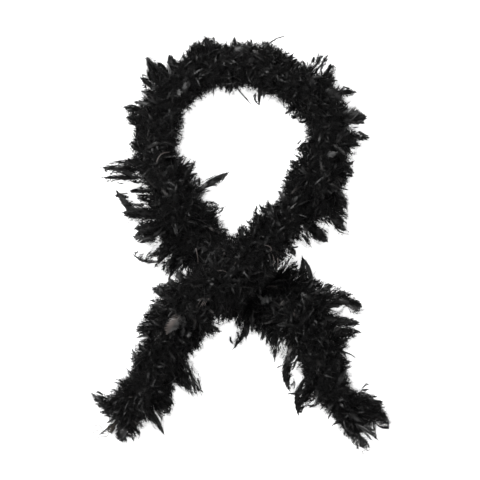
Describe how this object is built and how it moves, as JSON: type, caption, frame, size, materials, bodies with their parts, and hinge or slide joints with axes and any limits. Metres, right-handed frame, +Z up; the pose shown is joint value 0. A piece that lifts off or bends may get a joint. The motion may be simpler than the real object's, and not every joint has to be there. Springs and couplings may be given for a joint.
{
  "type": "feather boa",
  "caption": "Long fluffy feather boa: plumes and down tied along a twisted cord, laid flat as a loop whose two tails cross, with a whipped and knotted cord at each end.",
  "frame": {"origin": "centre of the bounding box on the surface that the boa lies on", "axes": "+Y to the crown of the loop, +X to its right side seen from above, +Z up"},
  "size_m": [0.536, 0.7535, 0.098],
  "materials": {
    "cord": "twisted dyed cotton cord, dull, with a visible lay",
    "thread": "waxed sewing thread wound in close turns, faint sheen",
    "down": "dense dyed down, black, soft and matte with a grey bloom",
    "plume": "dyed feather vanes, black to charcoal, satin sheen along the barbs, a few brown-grey"
  },
  "bodies": {
    "left_tail_end": {"cord_left_tail_end": "cord", "ties_left_tail_end": "thread", "down_left_tail_end": "down", "plumes_left_tail_end": "plume", "whipping_left": "thread", "knot_left": "cord", "threads_left": "cord"},
    "left_tail": {"cord_left_tail": "cord", "ties_left_tail": "thread", "down_left_tail": "down", "plumes_left_tail": "plume"},
    "over_crossing": {"cord_over_crossing": "cord", "ties_over_crossing": "thread", "down_over_crossing": "down", "plumes_over_crossing": "plume"},
    "right_side": {"cord_right_side": "cord", "ties_right_side": "thread", "down_right_side": "down", "plumes_right_side": "plume"},
    "right_shoulder": {"cord_right_shoulder": "cord", "ties_right_shoulder": "thread", "down_right_shoulder": "down", "plumes_right_shoulder": "plume"},
    "crown": {"cord_crown": "cord", "ties_crown": "thread", "down_crown": "down", "plumes_crown": "plume"},
    "left_shoulder": {"cord_left_shoulder": "cord", "ties_left_shoulder": "thread", "down_left_shoulder": "down", "plumes_left_shoulder": "plume"},
    "left_side": {"cord_left_side": "cord", "ties_left_side": "thread", "down_left_side": "down", "plumes_left_side": "plume"},
    "under_crossing": {"cord_under_crossing": "cord", "ties_under_crossing": "thread", "down_under_crossing": "down", "plumes_under_crossing": "plume"},
    "right_tail": {"cord_right_tail": "cord", "ties_right_tail": "thread", "down_right_tail": "down", "plumes_right_tail": "plume"},
    "right_tail_end": {"cord_right_tail_end": "cord", "ties_right_tail_end": "thread", "down_right_tail_end": "down", "plumes_right_tail_end": "plume", "whipping_right": "thread", "knot_right": "cord", "threads_right": "cord"}
  },
  "joints": [
    {"name": "flex_left_tail_end", "type": "hinge", "parent": "left_tail", "child": "left_tail_end", "pos_m": [-0.14842, -0.20626, 0.0282], "axis": [0, 0, -1], "range_deg": [-20, 20]},
    {"name": "flex_left_tail", "type": "hinge", "parent": "over_crossing", "child": "left_tail", "pos_m": [-0.07551, -0.08649, 0.0675], "axis": [0, 0, -1], "range_deg": [-15, 15]},
    {"name": "flex_over_crossing", "type": "hinge", "parent": "right_side", "child": "over_crossing", "pos_m": [0.04446, 0.00354, 0.0675], "axis": [0, 0, 1], "range_deg": [-10, 10]},
    {"name": "flex_right_side", "type": "hinge", "parent": "right_shoulder", "child": "right_side", "pos_m": [0.14974, 0.14384, 0.0282], "axis": [0, 0, 1], "range_deg": [-8, 8]},
    {"name": "flex_right_shoulder", "type": "hinge", "parent": "crown", "child": "right_shoulder", "pos_m": [0.09442, 0.29981, 0.0282], "axis": [0, 0, 1], "range_deg": [-6, 6]},
    {"name": "flex_left_shoulder", "type": "hinge", "parent": "crown", "child": "left_shoulder", "pos_m": [-0.07566, 0.30958, 0.0282], "axis": [0, 0, 1], "range_deg": [-6, 6]},
    {"name": "flex_left_side", "type": "hinge", "parent": "left_shoulder", "child": "left_side", "pos_m": [-0.15171, 0.16084, 0.0282], "axis": [0, 0, 1], "range_deg": [-8, 8]},
    {"name": "flex_under_crossing", "type": "hinge", "parent": "left_side", "child": "under_crossing", "pos_m": [-0.07271, 0.00412, 0.0179], "axis": [0, 0, 1], "range_deg": [-10, 10]},
    {"name": "flex_right_tail", "type": "hinge", "parent": "under_crossing", "child": "right_tail", "pos_m": [0.04478, -0.0888, 0.0179], "axis": [0, 0, -1], "range_deg": [-15, 15]},
    {"name": "flex_right_tail_end", "type": "hinge", "parent": "right_tail", "child": "right_tail_end", "pos_m": [0.14415, -0.207, 0.0282], "axis": [0, 0, -1], "range_deg": [-20, 20]}
  ]
}
